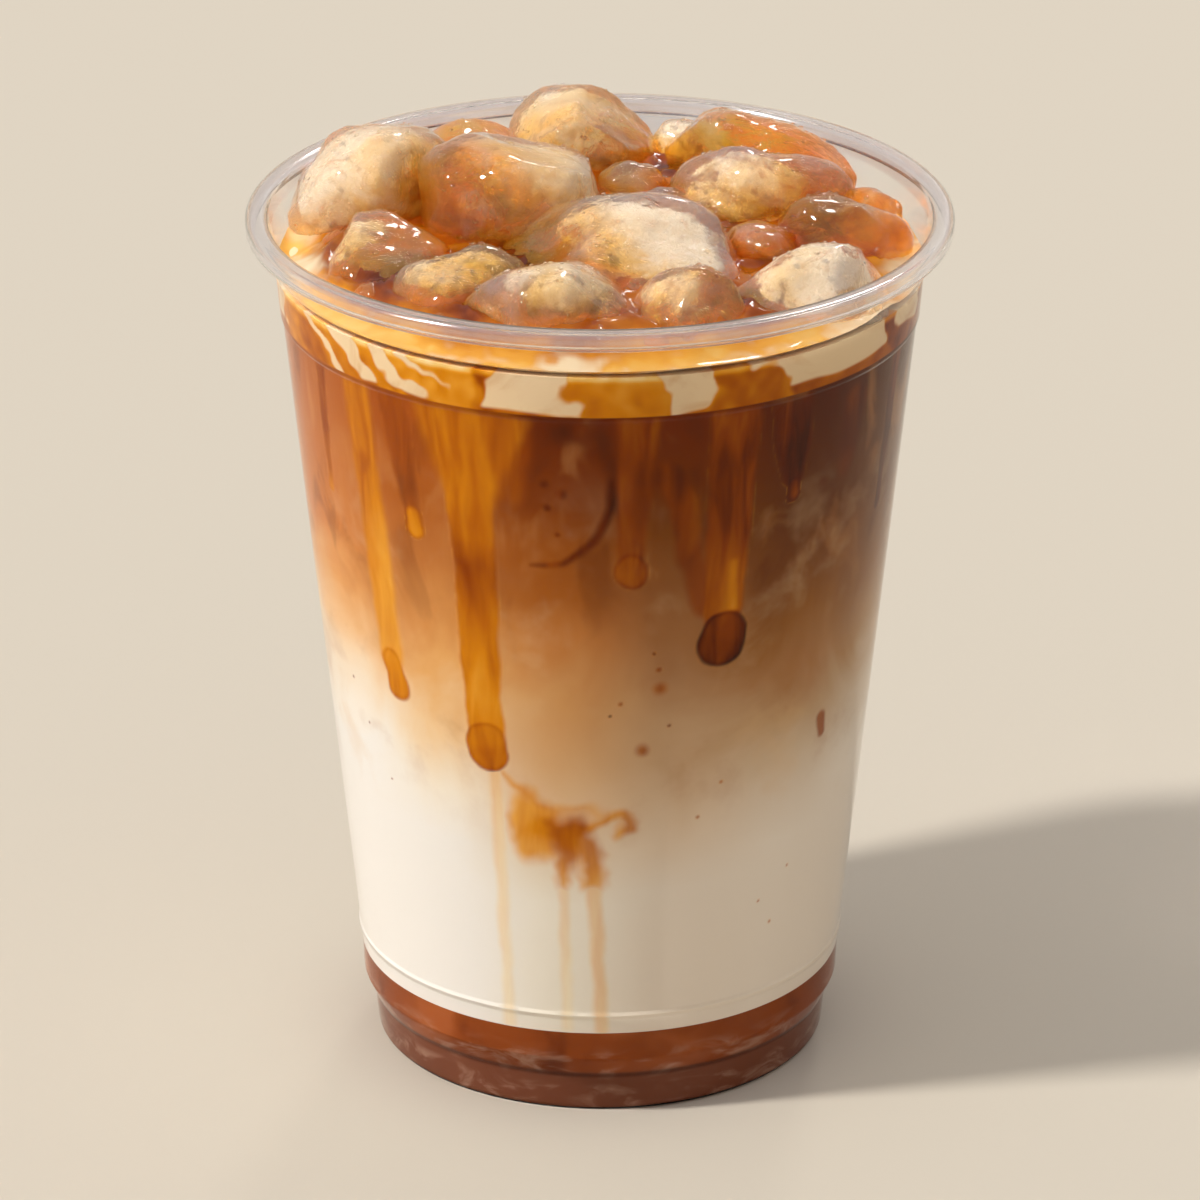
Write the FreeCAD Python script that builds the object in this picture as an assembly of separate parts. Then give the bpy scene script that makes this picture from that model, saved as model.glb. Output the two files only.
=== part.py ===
import FreeCAD, Part
import itertools
import math
import os
import random

# An iced layered coffee in a clear plastic cup, in millimetres.
# +Z is up, +X is to the right, and the cup stands on z = 0 about the Z axis.

# The cup's driving sizes, all on its outside unless a comment says otherwise.
RIM_DIAMETER = 98.0        # across the rolled rim
CUP_HEIGHT = 123.5         # table to the top of the rim
WALL = 0.5                 # thickness of the sheet that the cup is drawn from
ROLL_WIDTH = 3.0           # rolled rim, across
ROLL_HEIGHT = 2.8          # rolled rim, top to bottom
ROLL_LIP = 1.2             # how far the roll's free edge turns back under
ROLL_BEND = 0.8            # bend radius of the roll's edges
FLARE_HEIGHT = 14.0        # top of the rim down to the stacking shoulder
FLARE_SPREAD = 2.1         # how far the wall opens out above the shoulder
FLARE_BEND = 25.0          # radius of the bend halfway up the flare
FLARE_LATE = 0.7           # share of the flare that lies above its middle
SHOULDER_STEP = 0.3        # how far the shoulder stands out
SHOULDER_RISE = 0.5        # height of that step
WALL_SLOPE = 0.104         # outward lean of the long wall, per unit of height
RIDGE_RISE = 2.8           # heel line up to the fine ridge round the wall
RIDGE_PROUD = 0.25         # how far the ridge stands out
RIDGE_WIDTH = 1.2          # height of the ridge
HEEL_HEIGHT = 13.2         # table to the line where the long wall starts
HEEL_SLOPE = 0.045         # outward lean of the heel band
HEEL_STEP_TOP = 9.0        # upper end of the slanted step to the foot
HEEL_STEP_BASE = 5.9       # lower end of that step
HEEL_STEP_WIDTH = 1.45     # how far the step goes in
FOOT_SLOPE = 0.1           # outward lean of the foot ring
FOOT_WIDTH = 2.1           # foot ring, across the middle of its sheet
FOOT_INNER_LEAN = 0.6      # how far the ring's inner side slants
BASE_RECESS = 3.0          # height of the raised base under the cup
SOFT_BEND = 1.2            # bend radius of the heel and the foot
TIGHT_BEND = 0.8           # bend radius where the base meets the foot ring
CRISP_BEND = 0.4           # bend radius of the shoulder and the ridge

# The drink's levels, measured from the table or down from the rim.
HEADSPACE = 7.8            # rim down to the drink
CREAM_DEPTH = 5.9          # caramel and cream float
MILK_TOP = 58.0            # where the coffee starts
SYRUP_TOP = HEEL_HEIGHT    # the syrup fills the foot up to the heel line

# The ice that stands out of the drink. The crowd was laid out for a mouth of
# CROWD_RADIUS, and grows or shrinks with the mouth of the cup.
CROWD_RADIUS = 44.5
ICE_FULLNESS = 2.4         # 2 makes the body of a chunk an egg, 8 a block
ICE_EDGE = 9.0             # how crisp the edges of its flats are
ICE_FLATS = 9              # broken flats on each chunk
FLAT_REACH = (0.78, 0.96)  # where the flats lie, as shares of the egg's reach
LARGE_ICE = 9.5            # chunks with a mean half size above this are finer
LARGE_DETAIL = 4           # each of 20 triangles is split in this, squared
SMALL_DETAIL = 3
DIGITS = 6                 # digits kept of a direction, so that shared corners match
NEAR = 1e-6                # lengths that differ by less than this are the same

# name: place of the middle (right, back, above the drink), half sizes before
# turning, (turn, lean, roll) in degrees, and the seed of its flats
ICE = {
    "ice_left_boulder": ((-31.8, 14.3, 3.6), (10.9, 8.3, 10.2), (26, 0, 10), 3),
    "ice_back_left": ((-17.6, 33.4, 2.3), (8.0, 5.8, 6.6), (10, 5, 0), 5),
    "ice_back_peak": ((-2.4, 32.2, 5.5), (11.2, 8.4, 10.0), (0, 10, 0), 8),
    "ice_amber_boulder": ((-11.2, 8.6, 4.5), (13.9, 9.2, 10.6), (26, 5, 0), 12),
    "ice_back_pale": ((10.6, 37.2, 2.8), (4.6, 4.5, 7.2), (0, 0, 0), 14),
    "ice_amber_ridge": ((23.6, 26.0, 3.8), (15.2, 6.2, 8.0), (-22, 14, 0), 17),
    "ice_right_block": ((22.9, 13.6, 4.6), (12.3, 6.8, 6.8), (-8, 12, 0), 21),
    "ice_right_amber": ((33.5, 0.8, 2.2), (8.2, 6.8, 6.4), (0, 0, 0), 24),
    "ice_right_bead": ((38.4, 11.6, 2.0), (3.5, 3.6, 4.2), (0, 0, 0), 28),
    "ice_small_bead": ((21.7, -1.6, 1.2), (4.0, 4.0, 4.3), (0, 0, 0), 31),
    "ice_right_pale": ((28.6, -16.4, 1.2), (10.4, 8.6, 8.6), (15, 8, 0), 35),
    "ice_centre_dome": ((3.0, -6.9, -1.6), (17.4, 10.8, 13.0), (0, 4, 0), 38),
    "ice_front_middle": ((-5.8, -25.4, 0.4), (11.2, 8.0, 9.2), (0, 0, 0), 42),
    "ice_front_right": ((12.6, -26.0, 1.0), (7.2, 7.4, 8.4), (0, 0, 0), 46),
    "ice_front_left": ((-19.4, -14.3, 0.0), (9.0, 6.8, 8.2), (10, 0, 0), 51),
    "ice_left_wedge": ((-31.0, -4.9, -0.2), (8.0, 7.4, 7.8), (30, 0, 0), 55),
    "ice_sunk_lump": ((5.4, 18.4, 3.1), (4.8, 4.6, 5.2), (0, 0, 0), 58),
    "ice_sunk_nub": ((9.8, 9.0, 2.0), (3.6, 4.0, 4.8), (0, 0, 0), 63),
}


def cup_corners():
    """Corners of the middle of the cup's sheet, as (radius, height, bend radius), from
    the middle of the base to the free edge of the rolled rim."""
    half = WALL / 2.0
    roll_out = RIM_DIAMETER / 2.0 - half
    roll_in = roll_out - (ROLL_WIDTH - WALL)
    roll_top = CUP_HEIGHT - half
    roll_base = CUP_HEIGHT - ROLL_HEIGHT + half
    shoulder_height = CUP_HEIGHT - FLARE_HEIGHT
    shoulder = roll_in - FLARE_SPREAD - SHOULDER_STEP
    heel = shoulder - WALL_SLOPE * (shoulder_height - SHOULDER_RISE - HEEL_HEIGHT)
    step_top = heel - HEEL_SLOPE * (HEEL_HEIGHT - HEEL_STEP_TOP)
    step_base = step_top - HEEL_STEP_WIDTH
    foot = step_base - FOOT_SLOPE * HEEL_STEP_BASE
    ridge_height = HEEL_HEIGHT + RIDGE_RISE
    ridge = heel + WALL_SLOPE * RIDGE_RISE
    ridge_half = RIDGE_WIDTH / 2.0
    return [
        (0.0, BASE_RECESS + half, 0.0),
        (foot - FOOT_WIDTH - FOOT_INNER_LEAN, BASE_RECESS + half, TIGHT_BEND),
        (foot - FOOT_WIDTH, half, TIGHT_BEND),
        (foot, half, TIGHT_BEND),
        (step_base, HEEL_STEP_BASE, SOFT_BEND),
        (step_top, HEEL_STEP_TOP, SOFT_BEND),
        (heel, HEEL_HEIGHT, SOFT_BEND),
        (ridge - WALL_SLOPE * ridge_half, ridge_height - ridge_half, CRISP_BEND),
        (ridge + RIDGE_PROUD, ridge_height, CRISP_BEND),
        (ridge + WALL_SLOPE * ridge_half, ridge_height + ridge_half, CRISP_BEND),
        (shoulder, shoulder_height - SHOULDER_RISE, CRISP_BEND),
        (shoulder + SHOULDER_STEP, shoulder_height, CRISP_BEND),
        (roll_in - FLARE_LATE * FLARE_SPREAD, CUP_HEIGHT - FLARE_HEIGHT / 2.0, FLARE_BEND),
        (roll_in, roll_top, ROLL_BEND),
        (roll_out, roll_top, ROLL_BEND),
        (roll_out, roll_base, ROLL_BEND),
        (roll_out - ROLL_LIP, roll_base, 0.0),
    ]


def unit(vector):
    """The vector at length 1."""
    length = math.hypot(vector[0], vector[1])
    return (vector[0] / length, vector[1] / length)


def shifted_path(corners, shift):
    """Edges of the path through the corners with each corner bent to its radius, moved
    sideways by shift: positive goes to the path's right, the outside of the cup."""
    ways = [unit((b[0] - a[0], b[1] - a[1])) for a, b in zip(corners, corners[1:])]
    ways = [ways[0]] + ways + [ways[-1]]
    edges = []
    start = None
    for corner, before, after in zip(corners, ways, ways[1:]):
        right_before = (before[1], -before[0])
        right_after = (after[1], -after[0])
        together = 1.0 + before[0] * after[0] + before[1] * after[1]
        x = corner[0] + shift * (right_before[0] + right_after[0]) / together
        z = corner[1] + shift * (right_before[1] + right_after[1]) / together
        turn = math.atan2(before[0] * after[1] - before[1] * after[0], together - 1.0)
        bend = corner[2]
        if bend:
            bend += shift if turn > 0 else -shift
        tangent = bend * math.tan(abs(turn) / 2.0)
        enter = FreeCAD.Vector(x - tangent * before[0], 0, z - tangent * before[1])
        leave = FreeCAD.Vector(x + tangent * after[0], 0, z + tangent * after[1])
        if start is not None:
            edges.append(Part.LineSegment(start, enter).toShape())
        if tangent > NEAR:
            inward = unit((after[0] - before[0], after[1] - before[1]))
            depth = bend / math.cos(turn / 2.0) - bend
            middle = FreeCAD.Vector(x + depth * inward[0], 0, z + depth * inward[1])
            edges.append(Part.Arc(enter, middle, leave).toShape())
        start = leave
    return edges


def line(start, end):
    """Straight edge between two points."""
    return Part.LineSegment(start, end).toShape()


def spun(edges):
    """Solid of revolution about Z from a closed ring of edges."""
    face = Part.Face(Part.Wire(Part.__sortEdges__(edges)))
    return face.revolve(FreeCAD.Vector(0, 0, 0), FreeCAD.Vector(0, 0, 1), 360)


def cup():
    """The cup's thin sheet, from the raised base to the free edge of the rolled rim."""
    outside = shifted_path(cup_corners(), WALL / 2.0)
    inside = shifted_path(cup_corners(), -WALL / 2.0)
    axis = line(outside[0].Vertexes[0].Point, inside[0].Vertexes[0].Point)
    lip = line(outside[-1].Vertexes[-1].Point, inside[-1].Vertexes[-1].Point)
    return spun(outside + inside + [axis, lip])


def cavity():
    """All that the cup can hold, up to where the rim starts to roll."""
    below_roll = cup_corners()[:-3]
    inside = shifted_path(below_roll, -WALL / 2.0)
    brim = inside[-1].Vertexes[-1].Point
    bottom = inside[0].Vertexes[0].Point
    top = FreeCAD.Vector(0, 0, brim.z)
    return spun(inside + [line(brim, top), line(top, bottom)])


def mouth_radius(level):
    """Inner radius of the flared wall at a height."""
    below, above = cup_corners()[-6:-4]
    share = (level - below[1]) / (above[1] - below[1])
    return below[0] + share * (above[0] - below[0]) - WALL / 2.0


def ball_net(detail):
    """Directions and triangles of an even net over a ball: each face of an icosahedron
    in detail squared triangles."""
    golden = (1.0 + math.sqrt(5.0)) / 2.0
    tips = []
    for a in (-1.0, 1.0):
        for b in (-golden, golden):
            tips += [(0.0, a, b), (a, b, 0.0), (b, 0.0, a)]
    edge = 2.0
    faces = []
    for trio in itertools.combinations(range(len(tips)), 3):
        sides = [math.dist(tips[a], tips[b]) for a, b in itertools.combinations(trio, 2)]
        if max(sides) < edge + NEAR:
            faces.append(trio)
    places = {}
    triangles = []

    def place(face, u, v):
        """Number of the direction u and v steps into a face."""
        w = detail - u - v
        point = [(tips[face[0]][n] * w + tips[face[1]][n] * u + tips[face[2]][n] * v) / detail
                 for n in range(3)]
        length = math.hypot(*point)
        direction = tuple(round(value / length, DIGITS) for value in point)
        return places.setdefault(direction, len(places))

    for face in faces:
        for u in range(detail):
            for v in range(detail - u):
                triangles.append((place(face, u, v), place(face, u + 1, v), place(face, u, v + 1)))
                if u + v < detail - 1:
                    triangles.append((place(face, u + 1, v), place(face, u + 1, v + 1),
                                      place(face, u, v + 1)))
    return list(places), triangles


def ice_reach(direction, halves, flats):
    """Distance from a chunk's middle to its skin: a full egg with melted-edged flats."""
    body = sum((abs(part) / half) ** ICE_FULLNESS for part, half in zip(direction, halves))
    total = body ** (ICE_EDGE / ICE_FULLNESS)
    for normal, reach in flats:
        facing = sum(a * b for a, b in zip(direction, normal))
        if facing > 0:
            total += (facing / reach) ** ICE_EDGE
    return total ** (-1.0 / ICE_EDGE)


def ice_flats(halves, seed):
    """Random flats on a chunk, each a facing direction and its distance from the middle."""
    luck = random.Random(seed)
    flats = []
    for _ in range(ICE_FLATS):
        height = luck.uniform(-1.0, 1.0)
        angle = luck.uniform(0.0, 2.0 * math.pi)
        across = math.sqrt(1.0 - height * height)
        normal = (across * math.cos(angle), across * math.sin(angle), height)
        egg = math.hypot(*(half * part for half, part in zip(halves, normal)))
        flats.append((normal, egg * luck.uniform(*FLAT_REACH)))
    return flats


def ice_chunk(place, halves, turns, seed, spread, level):
    """One faceted chunk of ice, as a closed solid of flat triangles."""
    detail = LARGE_DETAIL if sum(halves) / 3.0 > LARGE_ICE else SMALL_DETAIL
    directions, triangles = ball_net(detail)
    flats = ice_flats(halves, seed)
    turning = FreeCAD.Rotation(*turns)
    middle = FreeCAD.Vector(place[0] * spread, place[1] * spread, level + place[2] * spread)
    points = []
    for direction in directions:
        reach = ice_reach(direction, halves, flats) * spread
        points.append(middle + turning.multVec(FreeCAD.Vector(*direction) * reach))
    faces = []
    for corners in triangles:
        ring = [points[corner] for corner in corners]
        faces.append(Part.Face(Part.makePolygon(ring + ring[:1])))
    shell = Part.makeShell(faces)
    shell.sewShape()
    solid = Part.makeSolid(Part.Shell(shell.Faces))
    if solid.Volume < 0:
        solid.reverse()
    return solid


def band(whole, low, high):
    """The part of a solid between two levels."""
    slab = Part.makeCylinder(RIM_DIAMETER, high - low, FreeCAD.Vector(0, 0, low))
    return whole.common(slab)


def model():
    """Every piece of the drink, by name."""
    level = CUP_HEIGHT - HEADSPACE
    spread = mouth_radius(level) / CROWD_RADIUS
    ice = {}
    for name, (place, halves, turns, seed) in ICE.items():
        ice[name] = ice_chunk(place, halves, turns, seed, spread, level)
    inside = cavity()
    levels = {
        "syrup": (0.0, SYRUP_TOP),
        "milk": (SYRUP_TOP, MILK_TOP),
        "coffee": (MILK_TOP, level - CREAM_DEPTH),
        "cream_top": (level - CREAM_DEPTH, level),
    }
    pieces = {"cup": cup()}
    for name, (low, high) in levels.items():
        layer = band(inside, low, high)
        sunk = [chunk for chunk in ice.values() if chunk.BoundBox.ZMin < high]
        pieces[name] = layer.cut(sunk) if sunk else layer
    pieces.update(ice)
    return pieces


os.makedirs("parts", exist_ok=True)
for node, shape in model().items():
    solids = shape.Solids
    if len(solids) != 1 or not shape.isValid():
        print(node, "has", len(solids), "solids, valid:", shape.isValid())
    solids[0].exportStep("parts/" + node + ".step")
    print(node, round(solids[0].Volume / 1000.0, 2), "ml")
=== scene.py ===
import random
from math import atan2, cos, exp, pi, radians, sin, sqrt, tan

import bmesh
import bpy
import numpy as np
from mathutils import Matrix, Vector, noise
from mathutils.bvhtree import BVHTree


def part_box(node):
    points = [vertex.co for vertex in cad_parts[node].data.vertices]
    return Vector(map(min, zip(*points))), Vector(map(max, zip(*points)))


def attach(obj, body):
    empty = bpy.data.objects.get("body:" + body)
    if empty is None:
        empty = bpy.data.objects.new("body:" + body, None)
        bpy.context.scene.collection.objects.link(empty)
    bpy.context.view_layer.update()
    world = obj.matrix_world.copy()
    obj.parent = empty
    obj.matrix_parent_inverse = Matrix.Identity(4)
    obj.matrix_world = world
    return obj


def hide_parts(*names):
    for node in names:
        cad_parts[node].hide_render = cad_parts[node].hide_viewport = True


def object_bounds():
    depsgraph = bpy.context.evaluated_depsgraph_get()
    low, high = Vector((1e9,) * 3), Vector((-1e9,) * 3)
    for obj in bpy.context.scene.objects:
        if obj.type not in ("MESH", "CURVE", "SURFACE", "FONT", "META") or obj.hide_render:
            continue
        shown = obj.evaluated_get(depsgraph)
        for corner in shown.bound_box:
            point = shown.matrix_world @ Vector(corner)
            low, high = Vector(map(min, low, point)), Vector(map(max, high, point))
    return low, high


# An iced caramel coffee in a clear plastic cup. Blender works in metres; the sizes
# below are in millimetres and degrees, and MM turns them into metres. An angle round
# the cup is 0 at the front and grows to the right.
MM = 0.001

# The cup, as the frame has it
WALL = 0.5  # thickness of the sheet
ROLL_WIDTH = 3  # rolled rim, across
ROLL_HEIGHT = 2.8  # rolled rim, top to bottom
ROLL_LIP = 1.2  # its free edge turns back under
ROLL_BEND = 0.8
FLARE_HEIGHT = 14  # top of the rim down to the stacking shoulder
FLARE_SPREAD = 2.1
FLARE_BEND = 25
FLARE_LATE = 0.7
SHOULDER_STEP = 0.3
SHOULDER_RISE = 0.5
WALL_SLOPE = 0.104
RIDGE_RISE = 2.8
RIDGE_PROUD = 0.25
RIDGE_WIDTH = 1.2
HEEL_SLOPE = 0.045
HEEL_STEP_TOP = 9
HEEL_STEP_BASE = 5.9
HEEL_STEP_WIDTH = 1.45
FOOT_SLOPE = 0.1
FOOT_WIDTH = 2.1
FOOT_INNER_LEAN = 0.6
BASE_RECESS = 3
SOFT_BEND = 1.2
TIGHT_BEND = 0.8
CRISP_BEND = 0.4
BEND_STEPS = 7  # straight pieces in each bend
TURN_STEPS = 288  # straight pieces round the cup
SHARP_EDGE = 50  # degrees; sharper bends get an edge

INTO_WALL = 0.1  # how far the drink reaches into the plastic
FILM_GAP = 0.01  # how far the thinnest caramel stands off the drink
FILM = 0.07  # how much further the thickest does
LAYER_STEP = 1.5  # height of one row of the drink's skin
CREAM_STEP = 0.3  # the same in the caramel float
CREAM_TURNS = 900  # columns of the caramel float round the cup


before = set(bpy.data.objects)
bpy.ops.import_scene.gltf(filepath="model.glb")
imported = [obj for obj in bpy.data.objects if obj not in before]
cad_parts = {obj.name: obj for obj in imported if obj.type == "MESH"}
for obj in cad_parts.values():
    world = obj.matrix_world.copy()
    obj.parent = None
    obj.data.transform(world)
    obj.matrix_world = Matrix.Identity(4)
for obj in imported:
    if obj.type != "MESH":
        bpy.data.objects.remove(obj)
CAD_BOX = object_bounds()

# Sizes that come from the frame
cup_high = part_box("cup")[1]
RIM_RADIUS = cup_high.x / MM
CUP_HEIGHT = cup_high.z / MM
HEEL_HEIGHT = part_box("syrup")[1].z / MM
MILK_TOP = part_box("milk")[1].z / MM
CREAM_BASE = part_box("coffee")[1].z / MM
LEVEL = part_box("cream_top")[1].z / MM
CAD_TOP = CAD_BOX[1][2] / MM
RIM_BASE = CUP_HEIGHT - ROLL_HEIGHT


# ---------------- the cup's outline

def cup_corners():
    """Corners of the middle of the sheet as (radius, height, bend radius)."""
    half = WALL / 2
    roll_out = RIM_RADIUS - half
    roll_in = roll_out - (ROLL_WIDTH - WALL)
    roll_top = CUP_HEIGHT - half
    roll_base = RIM_BASE + half
    shoulder_height = CUP_HEIGHT - FLARE_HEIGHT
    shoulder = roll_in - FLARE_SPREAD - SHOULDER_STEP
    heel = shoulder - WALL_SLOPE * (shoulder_height - SHOULDER_RISE - HEEL_HEIGHT)
    step_top = heel - HEEL_SLOPE * (HEEL_HEIGHT - HEEL_STEP_TOP)
    step_base = step_top - HEEL_STEP_WIDTH
    foot = step_base - FOOT_SLOPE * HEEL_STEP_BASE
    ridge_height = HEEL_HEIGHT + RIDGE_RISE
    ridge = heel + WALL_SLOPE * RIDGE_RISE
    ridge_half = RIDGE_WIDTH / 2
    return [
        (0, BASE_RECESS + half, 0),
        (foot - FOOT_WIDTH - FOOT_INNER_LEAN, BASE_RECESS + half, TIGHT_BEND),
        (foot - FOOT_WIDTH, half, TIGHT_BEND),
        (foot, half, TIGHT_BEND),
        (step_base, HEEL_STEP_BASE, SOFT_BEND),
        (step_top, HEEL_STEP_TOP, SOFT_BEND),
        (heel, HEEL_HEIGHT, SOFT_BEND),
        (ridge - WALL_SLOPE * ridge_half, ridge_height - ridge_half, CRISP_BEND),
        (ridge + RIDGE_PROUD, ridge_height, CRISP_BEND),
        (ridge + WALL_SLOPE * ridge_half, ridge_height + ridge_half, CRISP_BEND),
        (shoulder, shoulder_height - SHOULDER_RISE, CRISP_BEND),
        (shoulder + SHOULDER_STEP, shoulder_height, CRISP_BEND),
        (roll_in - FLARE_LATE * FLARE_SPREAD, CUP_HEIGHT - FLARE_HEIGHT / 2, FLARE_BEND),
        (roll_in, roll_top, ROLL_BEND),
        (roll_out, roll_top, ROLL_BEND),
        (roll_out, roll_base, ROLL_BEND),
        (roll_out - ROLL_LIP, roll_base, 0),
    ]


def outline(corners, shift):
    """Points along the bent path through the corners, moved outwards by shift."""
    spots = [Vector(corner[:2]) for corner in corners]
    ways = [(b - a).normalized() for a, b in zip(spots, spots[1:])]
    ways = [ways[0]] + ways + [ways[-1]]
    points = []
    for corner, spot, before, after in zip(corners, spots, ways, ways[1:]):
        together = 1 + before.dot(after)
        sideways = Vector((before.y + after.y, -before.x - after.x)) / together
        middle = spot + shift * sideways
        turn = atan2(before.x * after.y - before.y * after.x, together - 1)
        bend = corner[2]
        if not bend:
            points.append(middle)
            continue
        hand = 1 if turn > 0 else -1
        bend += hand * shift
        enter = middle - before * bend * tan(abs(turn) / 2)
        centre = enter + hand * bend * Vector((-before.y, before.x))
        for step in range(BEND_STEPS + 1):
            spun = Matrix.Rotation(turn * step / BEND_STEPS, 2) @ (enter - centre)
            points.append(centre + spun)
    return points


CORNERS = cup_corners()
BRIM = -3  # the corners from here on roll outwards
LINING = outline(CORNERS[:BRIM], -WALL / 2)  # the cup's inside, base to brim
SKIN = outline(CORNERS[:BRIM], -WALL / 2 + INTO_WALL)
FOOT_INSIDE = CORNERS[3][0] - WALL * 2  # all that lies further out is wall
WALL_LINE = np.array(sorted((p.y, p.x) for p in LINING if p.x > FOOT_INSIDE)).T


def wall_radius(height):
    """Radius of the cup's inside at a height above the foot."""
    return float(np.interp(height, *WALL_LINE))


def skin_between(low, high, step):
    """Rows (radius, height) of the drink's skin between two levels."""
    rows = max(2, round((high - low) / step))
    levels = [low + (high - low) * row / rows for row in range(rows + 1)]
    levels += [p.y for p in SKIN if low < p.y < high and p.x > FOOT_INSIDE]
    return [(wall_radius(level) + INTO_WALL, level) for level in sorted(levels)]


# ---------------- small helpers

def tone(*colour):
    """A colour as it looks on a screen, 0 to 255, as Blender's linear colour."""
    shares = [value / 255 for value in colour]
    return (*[s / 12.92 if s <= 0.04045 else ((s + 0.055) / 1.055) ** 2.4 for s in shares], 1)


def smooth(low, high, value):
    """0 below low, 1 above high and a soft rise between."""
    share = np.clip((value - low) / (high - low), 0, 1)
    return share * share * (3 - 2 * share)


def around(angle, radius, height):
    """Place at an angle, a radius and a height, in metres."""
    turn = radians(angle)
    return Vector((radius * sin(turn), -radius * cos(turn), height)) * MM


def angles_of(places):
    """Angle round the cup of each place."""
    return np.degrees(np.arctan2(places[:, 0], -places[:, 1]))


def murmur(places, scale, shift=Vector((0, 0, 0))):
    """Smooth noise at each place."""
    return np.array([noise.noise(Vector(place) * scale + shift) for place in places])


def extent(points):
    """Centre and half size of the box round the points."""
    low = points.min(0)
    high = points.max(0)
    return (low + high) / 2, (high - low) / 2


def lattice(rows, columns, wrap=True, closed=False):
    """Faces between rows of points; wrap joins each row's ends, closed the outer rows."""
    number = np.arange(rows * columns).reshape(rows, columns)
    after = np.roll(number, -1, 1)
    faces = np.stack([number, after, np.roll(after, -1, 0), np.roll(number, -1, 0)], 2)
    return faces[:rows - (not closed), :columns - (not wrap)].reshape(-1, 4).tolist()


def add_part(points, faces, more_points, more_faces):
    """Adds a part's points and faces to those of a piece."""
    faces += [tuple(len(points) + corner for corner in face) for face in more_faces]
    points += list(more_points)


def ball(subdivisions):
    """Points and faces of a ball with radius 1."""
    work = bmesh.new()
    bmesh.ops.create_icosphere(work, subdivisions=subdivisions, radius=1)
    points = np.array([v.co for v in work.verts])
    faces = [tuple(v.index for v in face.verts) for face in work.faces]
    work.free()
    return points, faces


def placed(name, data):
    """An object with that data, in the scene."""
    made = bpy.data.objects.new(name, data)
    bpy.context.scene.collection.objects.link(made)
    return made


def mesh_piece(name, points, faces, material, slot, **marks):
    """A piece from its points in metres and its faces; marks are numbers at its points."""
    mesh = bpy.data.meshes.new(name)
    mesh.from_pydata([tuple(point) for point in points], [], faces)
    mesh.validate()
    mesh.shade_smooth()
    mesh.materials.append(material)
    piece = placed(name, mesh)
    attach(piece, "root")
    put_marks(piece, **marks)
    return piece


def put_marks(piece, **marks):
    for name, values in marks.items():
        made = piece.data.attributes.new(name, "FLOAT", "POINT")
        made.data.foreach_set("value", np.asarray(values, np.float32))


def weld(source, target, reach, outward=False):
    """Copies a mesh into another one and joins its doubled points."""
    work = bmesh.new()
    work.from_mesh(source)
    bmesh.ops.remove_doubles(work, verts=work.verts, dist=MM * reach)
    if outward:
        bmesh.ops.recalc_face_normals(work, faces=work.faces)
    work.to_mesh(target)
    work.free()


def turned(name, rows, material, slot, turns=TURN_STEPS, closed=False):
    """A piece turned on the cup's axis from rows of (radius, height)."""
    points = [around(360 * turn / turns, max(radius, 0), height)
              for radius, height in rows for turn in range(turns)]
    piece = mesh_piece(name, points, lattice(len(rows), turns, closed=closed), material, slot)
    weld(piece.data, piece.data, 1e-4, outward=True)
    piece.data.shade_smooth()
    piece.data.set_sharp_from_angle(angle=radians(SHARP_EDGE))
    return piece


# ---------------- shader nodes

def node(tree, kind, inputs=None, **settings):
    """Adds a shader node; inputs are sockets to link or plain values."""
    made = tree.nodes.new("ShaderNode" + kind)
    for name, value in settings.items():
        setattr(made, name, value)
    feed(made, inputs or {})
    return made


def feed(made, inputs):
    """Links sockets to a node's inputs, or sets plain values on them."""
    for key, value in inputs.items():
        if isinstance(value, bpy.types.NodeSocket):
            made.id_data.links.new(value, made.inputs[key])
        else:
            made.inputs[key].default_value = value


def here(tree):
    """The place that is being coloured, in metres."""
    return node(tree, "TexCoord").outputs["Object"]


def mark(tree, name):
    """A mark of the mesh."""
    return node(tree, "Attribute", attribute_name=name).outputs["Fac"]


def shared(tree, group, inputs=None):
    """The outputs of a group that materials share."""
    return node(tree, "Group", node_tree=group, inputs=inputs).outputs


def maths(operation, first, second=0, third=0):
    return node(first.id_data, "Math", {0: first, 1: second, 2: third}, operation=operation).outputs[0]


def times(first, second):
    return maths("MULTIPLY", first, second)


def scaled(value, factor, shift):
    return maths("MULTIPLY_ADD", value, factor, shift)


def swayed(value, other, factor, shift):
    """A value moved by another one that is scaled and shifted."""
    return maths("ADD", value, scaled(other, factor, shift))


def rise(value, low, high):
    """Soft rise of a value from 0 at low to 1 at high."""
    return node(value.id_data, "MapRange", {0: value, 1: low, 2: high},
                interpolation_type="SMOOTHSTEP").outputs[0]


def band(value, low, full, fading, gone):
    """Soft rise from low to full, and a fall from fading to gone."""
    return times(rise(value, low, full), rise(value, gone, fading))


def mixed(share, first, second):
    """Two colours mixed by a share."""
    return node(share.id_data, "Mix", {0: share, 6: first, 7: second}, data_type="RGBA").outputs[2]


def stained(body, share, strength, colour):
    """A colour with another one laid over it."""
    return mixed(times(share, strength), body, tone(*colour))


def ramp(value, stops, blend="EASE", paint=tone):
    """Colour for a value from stops: where each one lies, then its colour."""
    made = node(value.id_data, "ValToRGB", {0: value})
    stripe = made.color_ramp
    stripe.interpolation = blend
    while len(stripe.elements) < len(stops):
        stripe.elements.new(0.5)
    for element, (place, *colour) in zip(stripe.elements, stops):
        element.position = place
        element.color = paint(*colour)
    return made.outputs[0]


def clouds(place, scale, detail=3, distortion=0, rough=0.5):
    """Noise between 0 and 1."""
    return node(place.id_data, "TexNoise", {"Vector": place, "Scale": scale, "Detail": detail,
                                            "Distortion": distortion, "Roughness": rough}).outputs[0]


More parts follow.
